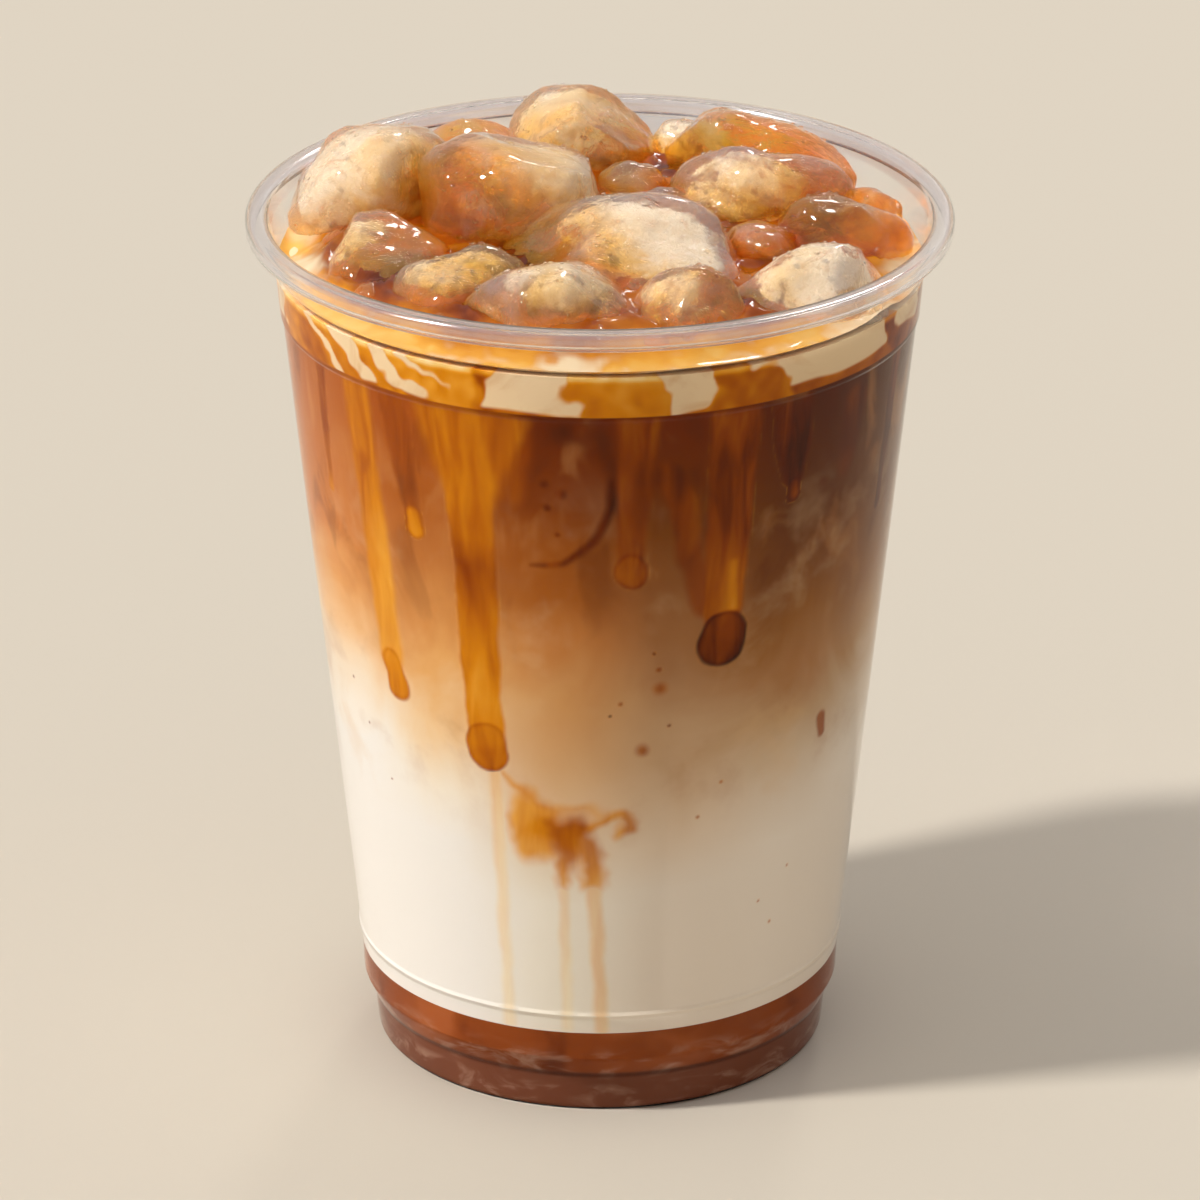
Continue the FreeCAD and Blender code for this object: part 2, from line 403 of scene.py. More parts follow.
def new_group(name, inputs, outputs):
    """An empty node group with sockets of the kinds named, and its ends."""
    group = bpy.data.node_groups.new(name, "ShaderNodeTree")
    for side, sockets in (("INPUT", inputs), ("OUTPUT", outputs)):
        for label, kind in sockets.items():
            group.interface.new_socket(name=label, in_out=side, socket_type="NodeSocket" + kind)
    return group, group.nodes.new("NodeGroupInput"), group.nodes.new("NodeGroupOutput")


def new_material(name, look, shadow=None):
    """A material whose shader has the inputs that look gives; with a shadow colour, light
    also passes through to what is inside."""
    material = bpy.data.materials.new(name)
    material.use_nodes = True
    tree = material.node_tree
    tree.nodes.clear()
    shown = node(tree, "BsdfPrincipled")
    feed(shown, look(tree))
    if shadow:
        shown = node(tree, "MixShader", {0: node(tree, "LightPath").outputs["Is Shadow Ray"],
                                         1: shown.outputs[0],
                                         2: node(tree, "BsdfTransparent", {0: shadow}).outputs[0]})
    node(tree, "OutputMaterial", {0: shown.outputs[0]})
    return material


# ---------------- the drink's colours

# The drink's colours: for angles round the cup, (height, red, green, blue) up the wall
DRINK_LOW = 32
DRINK_SPAN = 78
MILK = (241, 236, 228)
DRINK_COLUMNS = [
    (-60, [(50, *MILK), (54, 243, 234, 220), (60, 241, 224, 200), (66, 240, 211, 174),
           (73, 236, 192, 140), (79, 224, 160, 92), (85, 204, 126, 58),
           (95, 192, 114, 52), (108, 182, 100, 38)]),
    (-34, [(42, *MILK), (49, 243, 232, 213), (55, 240, 220, 190), (61, 238, 204, 156),
           (68, 228, 172, 104), (74, 212, 146, 78), (84, 188, 116, 54),
           (95, 172, 92, 26), (108, 166, 80, 14)]),
    (-10, [(34, 240, 232, 215), (43, 232, 214, 186), (50, 224, 190, 148),
           (56, 218, 174, 124), (64, 212, 158, 98), (72, 196, 126, 62),
           (80, 168, 94, 28), (89, 158, 84, 22), (97, 132, 60, 8), (108, 112, 42, 3)]),
    (16, [(36, 242, 230, 212), (44, 236, 216, 190), (51, 224, 196, 162),
          (58, 208, 172, 132), (66, 192, 148, 104), (76, 172, 118, 70),
          (86, 150, 92, 42), (92, 132, 72, 16), (99, 122, 54, 4), (108, 118, 44, 2)]),
    (42, [(40, 242, 231, 214), (47, 230, 213, 190), (53, 216, 192, 160),
          (60, 198, 160, 116), (67, 178, 126, 76), (74, 156, 100, 42),
          (82, 124, 68, 20), (92, 106, 54, 14), (108, 88, 36, 6)]),
    (66, [(46, 242, 231, 214), (53, 230, 216, 196), (60, 212, 188, 158),
          (67, 186, 144, 98), (76, 156, 106, 60), (90, 122, 74, 34),
          (108, 98, 52, 18)]),
    (120, [(46, *MILK), (54, 238, 214, 180), (64, 224, 174, 112), (76, 196, 124, 60),
           (90, 160, 88, 28), (108, 128, 58, 8)]),
]
# past the last column they stay the same, and meet round the back
DRINK_BACK = ((120, 180), (-90, -150))


def drink_colours():
    """Group with the colour of the milk and coffee at every place."""
    group, _, end = new_group("milk into coffee", {}, {"Color": "Color"})
    place = here(group)
    parts = node(group, "SeparateXYZ", {0: place}).outputs
    angle = maths("ARCTAN2", parts[0], times(parts[1], -1))
    height = times(parts[2], 1 / MM)
    # billows push the layers about, most where they meet
    belt = band(height, 36, 56, 84, 104)
    billow = scaled(clouds(place, 38, 4, 1), 22, -11)
    turn = maths("ADD", times(angle, 180 / pi), times(billow, 0.8))
    share = maths("SUBTRACT", scaled(billow, belt, height), DRINK_LOW)
    share = maths("DIVIDE", share, DRINK_SPAN)
    body = None
    for at, colours in DRINK_COLUMNS:
        stops = [((z - DRINK_LOW) / DRINK_SPAN, *colour) for z, *colour in colours]
        column = ramp(share, stops, "LINEAR")
        body = mixed(rise(turn, before, at), body, column) if body else column
        before = at
    for near, far in DRINK_BACK:
        body = mixed(rise(turn, near, far), body, column)
    # streaks that the pour left, from the float downwards
    streaks = node(group, "CombineXYZ", {0: angle, 1: times(height, 0.012)}).outputs[0]
    streaks = clouds(streaks, 5.5, 5, 0.6)
    high = rise(height, 66, 92)
    # clouds and murk where milk and coffee meet
    patches = clouds(place, 85, 4, 0.2, 0.55)
    for pattern, reach, low, full, strength, colour in (
            (streaks, high, 0.53, 0.72, 0.3, (214, 150, 84)),
            (streaks, high, 0.46, 0.3, 0.45, (96, 36, 2)),
            (patches, belt, 0.52, 0.74, 0.3, (226, 188, 140)),
            (patches, belt, 0.46, 0.28, 0.22, (172, 112, 66))):
        body = stained(body, times(rise(pattern, low, full), reach), strength, colour)
    feed(end, {"Color": body})
    return group


DRINK = drink_colours()

CARAMEL_STOPS = [
    (0, 248, 222, 164), (0.14, 240, 194, 104), (0.3, 230, 160, 44),
    (0.45, 214, 134, 6), (0.6, 186, 102, 1), (0.75, 148, 66, 0),
    (0.88, 104, 38, 1), (1, 62, 22, 4),
]
MATT = {"Roughness": 0.6, "Specular IOR Level": 0}


def drink_look(tree):
    """Milk and coffee as they show through the plastic."""
    return {"Base Color": shared(tree, DRINK)["Color"], **MATT}


def caramel_look(tree):
    """Caramel against the wall; the drink shows where its cover is low."""
    long_place = node(tree, "Mapping", {0: here(tree), 3: (1, 1, 0.16)}).outputs[0]
    depth = swayed(mark(tree, "depth"), clouds(long_place, 420, 4, 0.5), 0.5, -0.25)
    caramel = ramp(depth, CARAMEL_STOPS, "LINEAR")
    return {"Base Color": mixed(mark(tree, "cover"), shared(tree, DRINK)["Color"], caramel), **MATT}


def cream_look(tree, gloss):
    """Cream and caramel side by side; gloss is how wet they look."""
    place = here(tree)
    depth = swayed(mark(tree, "depth"), clouds(place, 260, 4, 0.6), 0.24, -0.12)
    stain = rise(clouds(place, 120, 5, 1), 0.5, 0.75)
    milky = stained(tone(236, 210, 168), stain, 0.6, (204, 150, 90))
    body = mixed(rise(mark(tree, "cream"), 0.1, 0.9), ramp(depth, CARAMEL_STOPS, "LINEAR"), milky)
    return {"Base Color": body, "Roughness": 0.6 - 0.5 * gloss, "Specular IOR Level": 0.2 * gloss,
            "Coat Weight": 0.25 * gloss, "Coat Roughness": 0.04}


def syrup_look(tree):
    """Brown syrup, frosty in the heel and the foot, with painted shade as a dark line at the step between
    them.
    """
    place = here(tree)
    height = times(node(tree, "SeparateXYZ", {0: place}).outputs[2], 1 / MM)
    body = ramp(clouds(place, 70, 4, 0.8), [
        (0.3, 112, 48, 14), (0.52, 142, 68, 24), (0.7, 166, 88, 42)])
    body = mixed(rise(height, 7, 5.4), body, tone(122, 70, 48))
    flat_place = node(tree, "Mapping", {0: place, 3: (1, 1, 2.2)}).outputs[0]
    frost_and_glint_grain = rise(clouds(flat_place, 150, 5, 0.7, 0.6), 0.47, 0.68)
    belt = maths("ADD", band(height, 4.4, 7.2, 8, 11.4), times(rise(height, 5, 3), 0.8))
    body = stained(body, times(frost_and_glint_grain, belt), 0.45, (206, 168, 142))
    # painted shade: a dark line at the heel step
    body = stained(body, band(height, 5.2, 5.8, 6, 6.6), 0.6, (60, 22, 8))
    return {"Base Color": body, **MATT}


def cup_look(tree):
    """Clear plastic, with more shine and a faint tint at the rolled rim."""
    height = node(tree, "SeparateXYZ", {0: here(tree)}).outputs[2]
    at_rim = rise(height, (RIM_BASE - 0.2) * MM, (RIM_BASE + 0.4) * MM)
    return {"Base Color": mixed(at_rim, (1, 1, 1, 1), (0.95, 0.935, 0.97, 1)), "Roughness": 0.03,
            "IOR": 1.22, "Transmission Weight": 1, "Coat Weight": at_rim, "Coat IOR": 2,
            "Coat Roughness": 0.12}


def ice_tint():
    """Group with the colour of wet ice, from white to caramel, and its melted relief."""
    group, start, end = new_group("wet ice", {"Amber": "Float", "Cloud": "Float"},
                                  {"Color": "Color", "Height": "Float", "Roughness": "Float"})
    place = here(group)
    glow = ramp(swayed(start.outputs["Amber"], clouds(place, 85, 3, 0.8), 1.3, -0.64), [
        (0, 253, 241, 222), (0.2, 250, 225, 178), (0.38, 245, 206, 128),
        (0.56, 244, 197, 78), (0.76, 237, 175, 42), (1, 208, 132, 18)])
    mist = swayed(clouds(place, 120, 4, 0.6, 0.55), start.outputs["Cloud"], 0.5, -0.36)
    mist = rise(mist, 0.4, 0.8)
    body = stained(glow, mist, 0.9, (254, 247, 236))
    body = stained(body, rise(clouds(place, 150, 5, 1.6, 0.65), 0.6, 0.72), 0.5, (164, 90, 20))
    body = stained(body, rise(clouds(place, 800, 1), 0.76, 0.8), 0.35, (120, 56, 10))
    relief = scaled(clouds(place, 150, 3, 0.4), 3, clouds(place, 480, 4, 0.3, 0.62))
    feed(end, {"Color": body, "Height": relief, "Roughness": scaled(mist, 0.12, 0.05)})
    return group


ICE_TINT = ice_tint()


def ice_look(tree, clear, share):
    """Wet ice; clear is how much of it is, and share how strongly its marks show."""
    ice = shared(tree, ICE_TINT, {"Amber": times(mark(tree, "amber"), share),
                                  "Cloud": times(mark(tree, "cloud"), share)})
    bump = node(tree, "Bump", {"Strength": 1, "Distance": 0.7 * MM, "Height": ice["Height"]})
    return {"Base Color": ice["Color"], "Roughness": ice["Roughness"], "Normal": bump.outputs[0],
            "IOR": 1.25, "Transmission Weight": clear, "Subsurface Weight": 0.6,
            "Subsurface Radius": (1, 0.9, 0.75), "Subsurface Scale": 3 * MM, "Coat Weight": 1,
            "Coat IOR": 1.45, "Coat Roughness": 0.03}


def core_look(tree):
    """The cloudy heart of a chunk: a white bloom that thins out into clear ice."""
    place = here(tree)
    bloom = swayed(clouds(place, 125, 6, 2.4, 0.66), mark(tree, "cloud"), 0.7, -0.35)
    body = ramp(mark(tree, "amber"), [
        (0, 248, 242, 234), (0.35, 240, 220, 190), (0.65, 220, 156, 74),
        (1, 190, 106, 18)])
    # fine grain: white flecks of frost, partly painted glints, and darker flecks of caramel
    frost_and_glint_grain = clouds(place, 640, 4, 0.3, 0.7)
    body = stained(body, rise(frost_and_glint_grain, 0.52, 0.7), 0.7, (255, 251, 244))
    body = stained(body, rise(frost_and_glint_grain, 0.46, 0.32), 0.55, (200, 138, 70))
    return {"Base Color": body, "Alpha": times(rise(bloom, 0.5, 0.76), 0.84), **MATT}


def sky_reflection_look(tree):
    """Painted reflection of the bluish sky, faint on the plastic above the drink."""
    patches = clouds(here(tree), 60, 4, 0.6)
    return {"Base Color": mixed(patches, tone(186, 200, 222), tone(222, 226, 232)),
            "Alpha": times(mark(tree, "cover"), scaled(patches, 0.8, 0.5)), "Roughness": 0.5,
            "Specular IOR Level": 0.1}


def water_look(_):
    return {"Base Color": (1, 0.98, 0.94, 1), "Roughness": 0, "IOR": 1.33, "Transmission Weight": 1}


CLEAR_PLASTIC = new_material("clear plastic", cup_look, (0.96, 0.96, 0.97, 1))
DRINK_BODY = new_material("milk and coffee", drink_look)
WALL_CARAMEL = new_material("caramel on the wall", caramel_look)
FLOAT = new_material("float behind the plastic", lambda tree: cream_look(tree, 0))
POOLS = new_material("wet caramel and cream", lambda tree: cream_look(tree, 1))
SYRUP = new_material("caramel syrup", syrup_look)
CLEAR_ICE = new_material("clear ice", lambda tree: ice_look(tree, 0.82, 0.9), tone(244, 222, 178))
CLOUDY_CORE = new_material("cloudy core", core_look)
AMBER_ICE = new_material("caramel ice", lambda tree: ice_look(tree, 0.85, 1), tone(246, 206, 100))
# painted reflection of the sky on the far inner wall
PAINTED_SKY_REFLECTION = new_material("painted sky reflection", sky_reflection_look)
WATER = new_material("water", water_look)


# ---------------- cup and layers

def make_cup():
    """The clear cup, from its raised base to the rim's free edge."""
    outside = outline(CORNERS, WALL / 2)
    inside = outline(CORNERS, -WALL / 2)
    rows = [tuple(point) for point in outside + inside[::-1]]
    cup = turned("cup_shell", rows, CLEAR_PLASTIC, "clear_cup", closed=True)
    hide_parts("cup")


def filled(low, high, step):
    """Rows for a layer of drink, with flat ends at the axis."""
    rows = skin_between(low, high, step)
    return [(0, rows[0][1])] + rows + [(0, rows[-1][1])]


def make_layers():
    """Syrup, milk and coffee, each out into the plastic."""
    base = [tuple(point) for point in SKIN if point.y < HEEL_HEIGHT]
    rows = base + [(wall_radius(HEEL_HEIGHT) + INTO_WALL, HEEL_HEIGHT), (0, HEEL_HEIGHT)]
    syrup = turned("syrup_body", rows, SYRUP, "caramel_syrup")
    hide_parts("syrup")
    rows = filled(HEEL_HEIGHT, MILK_TOP, LAYER_STEP)
    milk = turned("milk_body", rows, DRINK_BODY, "milk")
    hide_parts("milk")
    rows = filled(MILK_TOP, CREAM_BASE, LAYER_STEP)
    coffee = turned("coffee_body", rows, DRINK_BODY, "coffee")
    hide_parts("coffee")


# Fields of the float as it shows at the side: from angle, to angle, how far the right
# end leans per mm of height, cream (1) or caramel (0), depth of the caramel, and how
# far above the shoulder the field ends.
FLOAT_FIELDS = [
    (-72, -66, -1.2, 0, 0.6, 0), (-66, -62, -1.6, 1, 0.4, 0), (-62, -56, -1.5, 0, 0.52, 0),
    (-56, -50, -1.5, 1, 0.4, 0.4), (-50, -46, -1.4, 0, 0.46, 0), (-46, -40, -1.5, 1, 0.4, 0.6),
    (-40, -36, -1.2, 0, 0.4, 0), (-36, -33, -1.6, 1, 0.3, 1), (-33, -29, -0.8, 0, 0.42, 0),
    (-29, -22, 0.2, 0, 0.38, 0.2), (-22, -16, -0.8, 0, 0.68, 0),
    (-17, -5, 0.4, 1, 0.4, 0.3), (-5, 10, -0.6, 0, 0.44, 0), (10, 20, -0.3, 1, 0.4, 0),
    (20, 31, -0.5, 0, 0.62, 0), (31, 60, -1, 1, 0.4, 1.6), (60, 66, -1, 0, 0.8, 0),
    (66, 75, -0.6, 1, 0.5, 2.6), (75, 84, 0, 0, 0.7, 0),
]
FIELD_EDGE = 1.1  # degrees
FIELDS_BACK = (84, 294)  # angles between which fields are drawn at random


def more_fields():
    """The same kind of fields round the back, drawn at random."""
    draw = random.Random(7).uniform
    fields = []
    angle, last = FIELDS_BACK
    cream = 1
    while angle < last - 4:
        width = draw(5, 15)
        fields.append((angle, min(angle + width, last), draw(-1, 1.5), cream,
                       draw(0.38, 0.7), draw(0, 1.6) * cream))
        angle += width
        cream = 1 - cream
    return fields


def make_float():
    """The caramel and cream round the wall, from the shoulder up."""
    rows = filled(CREAM_BASE, LEVEL, CREAM_STEP)
    piece = turned("float_body", rows, FLOAT, "caramel_cream", CREAM_TURNS)
    places = np.array([v.co for v in piece.data.vertices]) / MM
    height = places[:, 2]
    waver = murmur(places, 0.13)
    fine = murmur(places, 0.5)
    angle = angles_of(places) + waver * 6 + fine * 2
    cream = np.zeros(len(places))
    depth = np.full(len(places), 0.5)
    for start, stop, lean, milky, dark, raised in FLOAT_FIELDS + more_fields():
        apart = angle - lean * (height - LEVEL) - (start + stop) / 2
        apart = (apart + 180) % 360 - 180
        half = (stop - start) / 2
        inside = smooth(half + FIELD_EDGE, half - FIELD_EDGE, np.abs(apart))
        hem = smooth(-0.5, 0.5, height - CREAM_BASE - raised - waver * 1.2)
        cream = cream * (1 - inside) + inside * milky * hem
        depth = depth * (1 - inside) + inside * (dark + 0.25 * (1 - hem) * milky)
    top = smooth(-1.1, -0.2, height - LEVEL)
    put_marks(piece, cream=cream, depth=depth + 0.12 * fine - 0.34 * top * (1 - cream))
    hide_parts("cream_top")


# ---------------- caramel on the wall

# Each stroke is a run of caramel: its points (angle, height, half width, depth of
# colour), how opaque it is and how wide its edge is.
DRIPS = [
    # thin dark run, then a long golden one
    ([(-60.5, 110, 1.4, 0.72), (-61, 100, 1.1, 0.8), (-61.3, 93, 0.7, 0.7),
      (-61.4, 90.4, 0.9, 0.45)], 0.9, 0.5),
    ([(-49.5, 110, 2.9, 0.56), (-48.6, 98, 2.7, 0.56), (-47.6, 86, 2.6, 0.42), (-46.9, 76, 2.5, 0.33),
      (-46.3, 68, 2.4, 0.35)], 0.88, 0.9),
    ([(-46.6, 67.4, 1.8, 0.42), (-45, 63.6, 2.3, 0.48)], 1, 0.4),
    # brown run with a golden bead
    ([(-40, 108, 2.4, 0.72), (-38.6, 99, 2.2, 0.82), (-37.6, 93.2, 1.6, 0.76)], 0.66, 0.8),
    ([(-37.1, 91.4, 1.5, 0.5), (-36.9, 89.6, 1.7, 0.46)], 1, 0.4),
    # the main run
    ([(-30, 111, 4.6, 0.54), (-28.4, 106, 4.5, 0.56), (-26.5, 99, 3.2, 0.56)], 0.9, 1.8),
    ([(-18, 110.5, 4.8, 0.58), (-19.6, 104, 4.2, 0.58), (-22.5, 97, 3, 0.56)], 0.9, 1.8),
    ([(-25, 106, 4.2, 0.58), (-24.6, 96, 3.6, 0.54), (-24.3, 90, 3.3, 0.6), (-24.2, 86, 3.2, 0.72),
      (-24.2, 81, 3.2, 0.62), (-24.2, 74, 3.1, 0.5), (-24.1, 66, 2.9, 0.42),
      (-23.8, 60, 2.9, 0.46)], 1, 0.5),
    ([(-23.9, 58.4, 3.2, 0.52), (-23.4, 57, 3.2, 0.58)], 1, 0.4),
    # the middle
    ([(6.8, 111, 3.4, 0.66), (6.2, 102, 2.6, 0.78), (5.9, 89.5, 2.2, 0.74)], 0.8, 0.8),
    ([(5.9, 86.9, 2.4, 0.7), (5.9, 86, 2.4, 0.68)], 0.9, 0.4),
    ([(8, 101, 2, 0.8), (12.5, 100.5, 2.1, 0.85), (15.5, 96, 2.1, 0.76), (17, 88, 2.1, 0.76),
      (20.5, 80, 2, 0.7)], 0.8, 1),
    ([(25, 111, 3.8, 0.74), (24.8, 102, 3.6, 0.82), (24.5, 92, 3.4, 0.78), (24.3, 84, 3.2, 0.66),
      (24.2, 77, 2.8, 0.64)], 0.95, 0.6),
    ([(26, 86, 0.8, 0.5), (26, 76.5, 0.9, 0.42)], 0.7, 0.8),
    ([(24.9, 75.2, 3.7, 0.84), (24.3, 74, 3.8, 0.88)], 1, 0.4),
    # the right
    ([(36.4, 110, 3.6, 0.86), (37.4, 102, 3.1, 0.94), (38, 97.6, 2, 0.94)], 0.9, 0.6),
    ([(38.2, 96, 1.2, 0.84), (38.2, 94.6, 1.25, 0.8)], 0.8, 0.35),
    ([(53, 105, 3, 0.84), (52.5, 99.5, 2.6, 0.88), (52, 96, 1.8, 0.82)], 0.5, 1.4),
    ([(68, 110, 1.6, 0.82), (67.2, 98, 1.3, 0.86), (66.6, 90, 1, 0.92),
      (66.5, 86.4, 0.9, 0.95)], 0.8, 0.5),
    # the dark curl
    ([(-13, 87, 0.35, 0.8), (-7, 87.4, 0.6, 0.84), (-1, 91, 0.8, 0.88), (2, 96, 0.8, 0.9),
      (2.2, 100, 0.9, 0.88)], 1, 0.7),
    ([(2.2, 102, 1.6, 0.88), (-1, 106.5, 1.9, 0.9), (-6, 107.6, 1.9, 0.92), (-11, 106, 1.8, 0.86),
      (-14.5, 102, 1.6, 0.78), (-16, 97, 1.6, 0.7)], 0.7, 1.6),
]

# pale runs down through the milk, and the splash that they come from
TRAILS = [
    ([(-22.5, 54, 1.05, 0.22), (-22, 40, 1.1, 0.16), (-21.8, 26, 0.95, 0.1),
      (-21.7, 14, 1, 0.1)], 0.42, 0.8),
    ([(-8.6, 43, 1, 0.4), (-8, 36, 0.9, 0.2), (-7.7, 25, 0.9, 0.1), (-7.5, 14, 0.9, 0.1)], 0.38, 0.8),
    ([(-3, 43, 1.3, 0.45), (-1.2, 36, 1.2, 0.28), (-0.4, 25, 1.15, 0.2), (0.4, 14, 1.15, 0.2)], 0.5, 0.8),
]

SPLASH = [
    ([(-20.5, 53.8, 0.9, 0.42), (-15.5, 51.4, 1.3, 0.46), (-11, 48.8, 1.7, 0.5)], 0.8, 1.3),
    ([(-15.6, 47.4, 3.4, 0.36), (-14.2, 43.8, 3.6, 0.38)], 0.92, 1.8),
    ([(-14, 46, 2.2, 0.46), (-9, 45.4, 2.8, 0.62), (-4.2, 46.4, 2, 0.56)], 0.95, 2),
    ([(-11, 46.6, 1, 0.74), (-7.2, 44.6, 1.6, 0.86), (-4, 46.6, 0.9, 0.74)], 0.9, 1.6),
    ([(-7, 45, 2.2, 0.72), (-7.4, 41.5, 1.8, 0.56), (-7.9, 37.5, 1.1, 0.36)], 0.9, 1.6),
    ([(-5.2, 45.2, 2.3, 0.6), (-2.4, 42, 2.3, 0.5), (-1.5, 37.5, 1.6, 0.36)], 0.9, 1.6),
    ([(-8, 48.8, 1.2, 0.44), (-4, 49.2, 1, 0.38), (1, 48.8, 1, 0.4)], 0.6, 1.4),
    ([(-2, 46.6, 0.9, 0.44), (2.2, 48.2, 1, 0.42), (5.4, 48.2, 1.2, 0.48), (6.6, 47, 1.2, 0.52),
      (3.8, 45.8, 0.9, 0.44)], 0.85, 1.1),
]

SPECKS = [
    (8.5, 58.6, 1, 0.72), (-61.5, 61, 0.3, 0.7), (-57, 55, 0.25, 0.68),
    (-50.5, 47.8, 0.2, 0.7), (11.5, 71, 0.45, 0.6), (4, 66, 0.35, 0.5), (2, 64, 0.3, 0.85),
    (14, 62, 0.3, 0.72), (26, 52, 0.3, 0.5), (21, 47, 0.35, 0.5), (-10, 99.5, 0.7, 0.92),
    (-7, 98, 0.8, 0.9), (-9.5, 96, 0.6, 0.9), (-8, 92, 0.5, 0.8), (42, 27, 0.3, 0.45),
    (46, 35, 0.25, 0.45), (38, 31, 0.25, 0.42), (10.5, 73.5, 0.3, 0.75), (12, 68, 1.1, 0.7),
]
SPECKS_OVAL = [(52.6, 57, 1.1, 0.76), (53.4, 54.6, 0.9, 0.76)]
RUNS_BACK = (92, 282)  # angles between which runs are drawn at random
RUNS_TOP = 109


def back_runs():
    """Runs of caramel round the back, drawn at random."""
    draw = random.Random(21).uniform
    runs = []
    angle, last = RUNS_BACK
    while angle < last:
        foot = draw(56, 98)
        width = draw(0.7, 2.6)
        depth = draw(0.42, 0.8)
        end = draw(-3, 3)
        runs.append(([(angle, RUNS_TOP, width * 1.3, depth + 0.08),
                      (angle + end * 0.5, (RUNS_TOP + foot) / 2, width, depth),
                      (angle + end, foot + width * 2, width * 0.85, depth)], 0.85, 0.6))
        runs.append(([(angle + end, foot + width, width * 1.05, depth + 0.1),
                      (angle + end, foot, width * 1.05, depth + 0.12)], 1, 0.4))
        angle += draw(9, 26)
    return runs


def painted(strokes, angle, height, scale, fades):
    """How well strokes cover each place and how deep their colour is there; scale is mm
    in a degree, and strokes that reach the float fade."""
    cover = np.zeros(angle.shape)
    depth = np.zeros(angle.shape)
    for points, opaque, soft in strokes:
        best = np.full(angle.shape, -9)
        dark = np.zeros(angle.shape)
        for (a0, z0, w0, d0), (a1, z1, w1, d1) in zip(points, points[1:]):
            across = (angle - a0) * scale
            span = (a1 - a0) * scale
            rising = height - z0
            climb = z1 - z0
            share = np.clip((across * span + rising * climb) / (span ** 2 + climb ** 2), 0, 1)
            away = np.hypot(across - share * span, rising - share * climb)
            inside = w0 + (w1 - w0) * share - away
            dark = np.where(inside > best, d0 + (d1 - d0) * share, dark)
            best = np.maximum(best, inside)
        laid = opaque * smooth(-soft / 2, soft, best)
        if fades:
            laid = laid * smooth(CREAM_BASE + 0.5, CREAM_BASE - 1.5, height)
        # drops have sharp edges, darkened with painted shade round their rounded rims
        dark = dark + 0.14 * smooth(0.9, 0.1, best) * smooth(0.52, 0.38, soft)
        under = cover * (1 - laid)
        both = (depth * under + dark * laid) / np.maximum(under + laid, 1e-6)
        depth = np.where(laid > 0, both, depth)
        cover = cover + laid - cover * laid
    return cover, depth


def film_on_wall(name, strokes, cell, wander):
    """A thin piece on the drink's skin that carries the strokes; wander is how far, in mm,
    their edges stray."""
    spots = np.array([point for run in strokes for point in run[0]])
    least = spots.min(0)
    most = spots.max(0)
    reach = most[2] + 2
    degree = radians(1) * wall_radius((LEVEL + HEEL_HEIGHT) / 2)
    low = max(least[1] - reach, HEEL_HEIGHT)
    high = min(most[1] + reach, CREAM_BASE)
    angles = np.arange(least[0] - reach / degree, most[0] + reach / degree, cell / degree)
    heights = np.linspace(low, high, max(2, int((high - low) / cell)))
    angle, height = np.meshgrid(angles, heights)
    radius = np.interp(heights, *np.array([(z, r) for r, z in skin_between(low, high, cell)]).T)
    places = [Vector((a * degree, z, 0)) for a, z in zip(angle.flat, height.flat)]
    drift = murmur(places, 0.22) + 0.4 * murmur(places, 0.7)
    sway = murmur(places, 0.3, Vector((0, 0, 9)))
    cover, depth = painted(strokes, angle + wander * drift.reshape(angle.shape) / degree,
                           height + wander * sway.reshape(angle.shape),
                           radians(1) * radius[:, None], high >= CREAM_BASE)
    kept = cover > 0.004
    kept = kept[:-1, :-1] | kept[1:, :-1] | kept[:-1, 1:] | kept[1:, 1:]
    faces = np.array(lattice(len(heights), len(angles), wrap=False))[kept.ravel()]
    used, faces = np.unique(faces, return_inverse=True)
    points = [around(angles[c], radius[r] + FILM_GAP + FILM * cover[r, c], heights[r])
              for r, c in zip(*np.unravel_index(used, cover.shape))]
    mesh_piece(name, points, faces.reshape(-1, 4).tolist(), WALL_CARAMEL, "caramel_cream",
               cover=cover.flat[used], depth=depth.flat[used])


def make_wall_caramel():
    """All the caramel between the drink and the plastic."""
    dots = [([(a, z, w, d), (a + 0.05, z, w, d)], 0.85, w * 0.9) for a, z, w, d in SPECKS]
    dots.append((SPECKS_OVAL, 0.8, 0.5))
    film_on_wall("caramel_runs", DRIPS, 0.32, 0.32)
    film_on_wall("caramel_trails", TRAILS, 0.32, 0.35)
    film_on_wall("caramel_splash", SPLASH, 0.3, 1.3)
    film_on_wall("caramel_back_runs", back_runs(), 0.4, 0.6)
    film_on_wall("coffee_specks", dots, 0.25, 0.2)


# A painted reflection of the pale bluish sky on the inside of the far wall, laid on as a faint film
REFLECTION_SPAN = (118, 206)  # angles round the cup
REFLECTION_BASE = LEVEL + 1
REFLECTION_TOP = CUP_HEIGHT - 1.6
REFLECTION_EDGE = 26  # degrees over which it thins out
REFLECTION_CLEAR = 0.03  # how far it stands off the plastic


def make_sky_reflection():
    """A thin film inside the far wall that carries the painted sky reflection."""
    rows = np.linspace(REFLECTION_BASE, REFLECTION_TOP, 16)
    angles = np.linspace(*REFLECTION_SPAN, 90)
    points = [around(angle, wall_radius(row) - REFLECTION_CLEAR, row) for row in rows for angle in angles]
    faces = lattice(len(rows), len(angles), wrap=False)
    angle, row = np.meshgrid(angles, rows)
    side = smooth(0, REFLECTION_EDGE, angle - REFLECTION_SPAN[0]) * smooth(0, REFLECTION_EDGE, REFLECTION_SPAN[1] - angle)
    tall = smooth(REFLECTION_BASE, REFLECTION_BASE + 2, row) * smooth(REFLECTION_TOP, REFLECTION_TOP - 1.4, row)
    mesh_piece("painted_sky_reflection", points, faces, PAINTED_SKY_REFLECTION, "clear_cup", cover=(0.7 * side * tall).ravel())


# ---------------- ice

